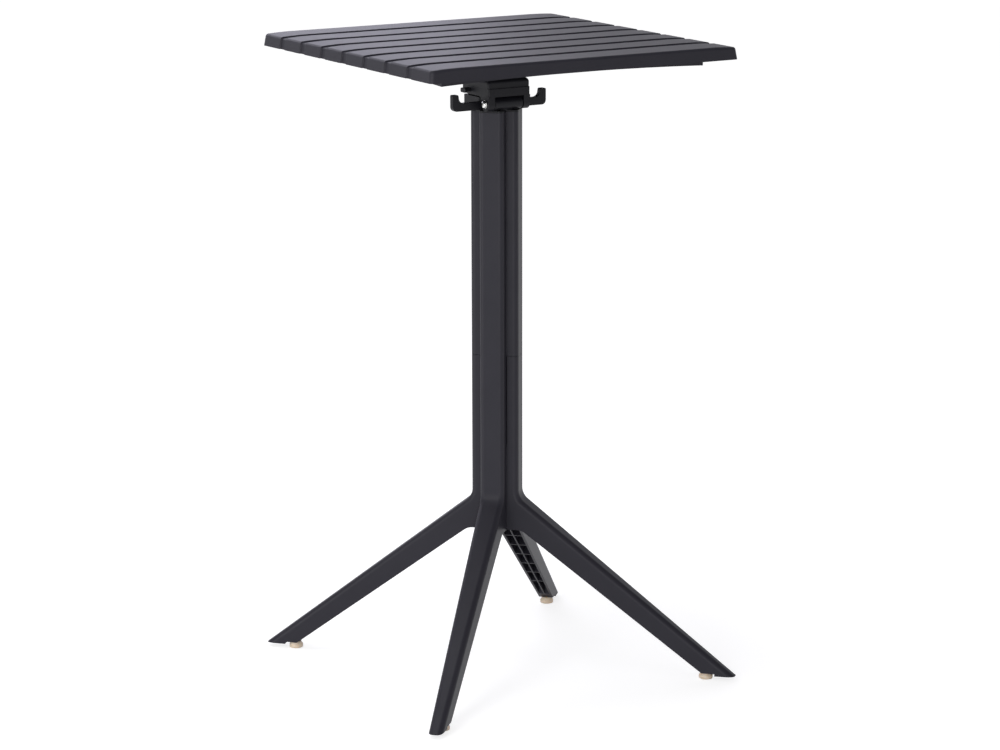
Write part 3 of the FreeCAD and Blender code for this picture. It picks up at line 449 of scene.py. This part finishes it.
piece("socket_head_bolt", joined([(bolt, along_x), (winding, along_x @ out)]), bright_steel, "top",
      "bolt_steel", "hinge_bolt")

washer = washer_mesh((washer_high.z - washer_low.z) / 2 / MM, bolt_r + slack, washer_t)
turn = Matrix.Rotation(math.pi / 2, 4, "Y")
seats = (washer_low.x, washer_high.x - washer_t * MM)
piece("bolt_washers", joined([(washer, Matrix.Translation((x, axis_y, axis_z)) @ turn) for x in seats]),
      bright_steel, "top", "bolt_steel", "hinge_washers")

nut_wide, nut_tall = nut_high.y - nut_low.y, nut_high.z - nut_low.z
nut = nut_mesh(min(nut_wide, nut_tall) / MM, (nut_high.x - nut_low.x) / MM, bolt_r + slack)
spin = Matrix.Rotation(0 if nut_tall > nut_wide else math.pi / 2, 4, "Z")
at_nut = Matrix.Translation((nut_low.x, axis_y, axis_z)) @ turn @ spin
piece("bolt_nut", joined([(nut, at_nut)]), bright_steel, "top", "bolt_steel", "hinge_nut")


# Pedestal and its screws
# A ribbed nylon moulding between the hinge leaf and the top. Pan-head screws hold the leaf to it from
# below, and more go up through its flange into bosses under the top.

dress("top_mount", glass_filled_nylon)

# Screw rows: one screw set on every seat, each driven home at its own angle.
screw_row = bpy.data.node_groups.new("screw_row", "GeometryNodeTree")
screw_row.interface.new_socket("Geometry", in_out="OUTPUT", socket_type="NodeSocketGeometry")
screw_row.interface.new_socket("Seats", in_out="INPUT", socket_type="NodeSocketGeometry")
screw_row.interface.new_socket("Screw", in_out="INPUT", socket_type="NodeSocketObject")
screw_row.interface.new_socket("Metal", in_out="INPUT", socket_type="NodeSocketMaterial")
given = add(screw_row, "NodeGroupInput").outputs
model = add(screw_row, "GeometryNodeObjectInfo", {"Object": given["Screw"], "As Instance": True})
driven = add(screw_row, "FunctionNodeRandomValue", {"Seed": 7}, data_type="FLOAT_VECTOR")
driven.inputs["Min"].default_value = (0.0, 0.0, 0.0)
driven.inputs["Max"].default_value = (0.0, 0.0, math.pi / 2)
rows = add(screw_row, "GeometryNodeInstanceOnPoints", {"Points": given["Seats"],
                                                       "Instance": model.outputs["Geometry"],
                                                       "Rotation": driven.outputs["Value"]})
plain = add(screw_row, "GeometryNodeRealizeInstances", {"Geometry": rows.outputs["Instances"]})
coated = add(screw_row, "GeometryNodeSetMaterial", {"Geometry": plain.outputs["Geometry"],
                                                    "Material": given["Metal"]})
add(screw_row, "NodeGroupOutput", {"Geometry": coated.outputs["Geometry"]})


def screw_mesh(head_r, head_h, length):
    """Pan-head tapping screw standing head down: domed head with a cross recess, and a coarse thread."""
    dome = [(head_r * 0.72 * i / 6, 0.35 * (i / 6) ** 2) for i in range(7)]
    shank_r, coarse = 2.5, 2.0
    core_r = shank_r - 0.45
    neck, tip, tip_r = 2.0, 3.0, 0.4
    head = lathe(dome + [(head_r * 0.9, 0.9), (head_r, 2.0), (head_r, head_h), (core_r, head_h),
                         (core_r, length - tip), (tip_r, length), (0, length)], 40)
    wing_long, wing_wide = 3.4, 0.9
    for turned in (0, math.pi / 2):
        wing = lathe([(0, -1), (0.75, -1), (0.45, 2.0), (0, 2.2)], 4)
        wing.transform(Matrix.Rotation(turned, 4, "Z") @ Matrix.Diagonal((wing_long, wing_wide, 1, 1))
                       @ Matrix.Rotation(math.pi / 4, 4, "Z"))
        head = carved(head, wing, "DIFFERENCE")
    winding = run_tree(rolled_thread, {"Radius": shank_r * MM, "Pitch": coarse * MM,
                                       "Metal": zinc_plated_steel,
                                       "Length": (length - head_h - 2 * tip) * MM})
    return joined([(head, Matrix()), (winding, Matrix.Translation((0, 0, (head_h + neck) * MM)))])


head_r, head_h = 5.0, 3.6
for node, name, with_middles in (("leaf_screws", "leaf_pan_screws", False),
                                 ("top_screws", "top_pan_screws", True)):
    low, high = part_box(node)
    inset = head_r * MM
    x0, x1, y0, y1 = low.x + inset, high.x - inset, low.y + inset, high.y - inset
    spots = [(x, y) for x in (x0, x1) for y in (y0, y1)]
    if with_middles:
        spots += [(x0, (y0 + y1) / 2), (x1, (y0 + y1) / 2), ((x0 + x1) / 2, y0), ((x0 + x1) / 2, y1)]
    seats = bpy.data.meshes.new("seats")
    seats.from_pydata([(x, y, low.z) for x, y in spots], [], [])
    model = bpy.data.objects.new("screw_model", screw_mesh(head_r, head_h, (high.z - low.z) / MM))
    bpy.context.scene.collection.objects.link(model)
    row = run_tree(screw_row, {"Screw": model, "Metal": zinc_plated_steel}, seats)
    bpy.data.objects.remove(model)
    piece(name, row, zinc_plated_steel, "top", "zinc_steel", node)


# Top
# One square moulding of the same polypropylene: eight slats with shallow grooves between them, a flared
# skirt, an arched apron and a net of ribs underneath.

dress("tabletop", moulded_polypropylene)


# Studio
# A pale floor in a bright room that is lightest behind the table. Soft lamps stand to the left, front,
# right and back and overhead, and a narrow one low on the left lights the edges. The camera stands where
# the photograph was taken from.

floor_material, tree = empty_material("pale_floor")
ray = add(tree, "ShaderNodeLightPath").outputs
seen = add(tree, "ShaderNodeMath", {0: ray["Is Camera Ray"], 1: ray["Is Glossy Ray"]}, operation="MAXIMUM")
seen = add(tree, "ShaderNodeMath", {0: seen.outputs[0], 1: ray["Is Transmission Ray"]}, operation="MAXIMUM")
where = add(tree, "ShaderNodeTexCoord").outputs["Object"]
far = add(tree, "ShaderNodeVectorMath", {0: where}, operation="LENGTH")
spread = add(tree, "ShaderNodeMapRange", {"Value": far.outputs["Value"], "From Min": 0.3, "From Max": 1.2,
                                          "To Min": 0.74, "To Max": 0.88}, interpolation_type="SMOOTHSTEP")
glow = add(tree, "ShaderNodeMath", {0: seen.outputs[0], 1: spread.outputs["Result"]}, operation="MULTIPLY")
shader = add(tree, "ShaderNodeBsdfPrincipled", {"Base Color": linear("#b8b8b8"), "Roughness": 0.9,
                                                "Specular IOR Level": 0.0, "Emission Color": (1, 1, 1, 1),
                                                "Emission Strength": glow.outputs[0]})
add(tree, "ShaderNodeOutputMaterial", {"Surface": shader.outputs["BSDF"]})
half = 40.0
floor = bpy.data.meshes.new("floor")
corners = [(-half, -half, 0), (half, -half, 0), (half, half, 0), (-half, half, 0)]
floor.from_pydata(corners, [], [(0, 1, 2, 3)])
floor.materials.append(floor_material)
floor = bpy.data.objects.new("floor", floor)
bpy.context.scene.collection.objects.link(floor)
floor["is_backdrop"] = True

world = bpy.data.worlds.new("studio")
bpy.context.scene.world = world
world.use_nodes = True
tree = world.node_tree
tree.nodes.clear()
facing = add(tree, "ShaderNodeTexCoord").outputs["Generated"]
window_side = (0.62, 0.78, 0.0)
window = add(tree, "ShaderNodeVectorMath", {0: facing, 1: window_side}, operation="DOT_PRODUCT")
daylight = add(tree, "ShaderNodeMapRange", {"Value": window.outputs["Value"], "From Min": 0.3,
                                            "From Max": 0.9, "To Min": 0.5, "To Max": 0.86},
               interpolation_type="SMOOTHSTEP")
height = add(tree, "ShaderNodeSeparateXYZ", {"Vector": facing})
ceiling = add(tree, "ShaderNodeMapRange", {"Value": height.outputs["Z"], "To Min": 1.1, "To Max": 0.3})
level = add(tree, "ShaderNodeMath", {0: daylight.outputs["Result"], 1: ceiling.outputs["Result"]},
            operation="MULTIPLY")
room = add(tree, "ShaderNodeBackground", {"Color": linear("#f9f8ff"), "Strength": level.outputs[0]})
add(tree, "ShaderNodeOutputWorld", {"Surface": room.outputs["Background"]})


def softbox(name, size, power, place, aim, tint="#ffffff"):
    """A soft lamp aimed at a point and unseen by the camera; sizes in metres, power in watts."""
    lamp = bpy.data.lights.new(name, "AREA")
    lamp.shape = "RECTANGLE"
    lamp.size, lamp.size_y = size
    lamp.energy = power
    lamp.color = linear(tint)[:3]
    obj = bpy.data.objects.new(name, lamp)
    obj.location = place
    obj.rotation_euler = (Vector(aim) - Vector(place)).to_track_quat("-Z", "Y").to_euler()
    obj.visible_camera = False
    bpy.context.scene.collection.objects.link(obj)


softbox("left_softbox", (1.2, 1.4), 36, (-3.2, -1.85, 1.95), (0, 0, 0.6))
softbox("back_softbox", (2.4, 1.6), 19, (0.2, 2.4, 1.9), (0, 0, 1.1), tint="#eceaff")
softbox("strip_softbox", (0.5, 1.2), 22, (-3.2, 0.2, 0.6), (0, 0, 0.75))
softbox("rim_softbox", (1.6, 0.9), 7, (-1.0, 2.7, 2.7), (0, 0, 1.1))
softbox("front_softbox", (1.6, 1.0), 33, (-2.2, -3.6, 0.5), (0, 0, 0.6))
softbox("fill_softbox", (2.0, 2.0), 7, (2.0, -3.5, 1.2), (0, 0, 0.8))
softbox("overhead_softbox", (1.4, 1.4), 26, (-0.7, 0.2, 3.3), (0, 0, 0.6))

azimuth, elevation, roll = math.radians(-30.79), math.radians(12.88), math.radians(-0.12)
back = Vector((math.sin(azimuth) * math.cos(elevation), -math.cos(azimuth) * math.cos(elevation),
               math.sin(elevation)))
right = Vector((math.cos(azimuth), math.sin(azimuth), 0))
up = back.cross(right)
tilted_right = math.cos(roll) * right + math.sin(roll) * up
tilted_up = math.cos(roll) * up - math.sin(roll) * right
lens = bpy.data.cameras.new("camera")
lens.sensor_width = 36.0
lens.lens = 116.43
camera = bpy.data.objects.new("camera", lens)
bpy.context.scene.collection.objects.link(camera)
aim_height, aside, distance = 0.5187, 0.004855, 5.5854
place = Vector((0, 0, aim_height)) + aside * right + distance * back
turn = Matrix((tilted_right, tilted_up, back)).transposed().to_4x4()
camera.matrix_world = Matrix.Translation(place) @ turn
bpy.context.scene.camera = camera
bpy.context.scene.view_settings.view_transform = "Standard"

low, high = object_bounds()
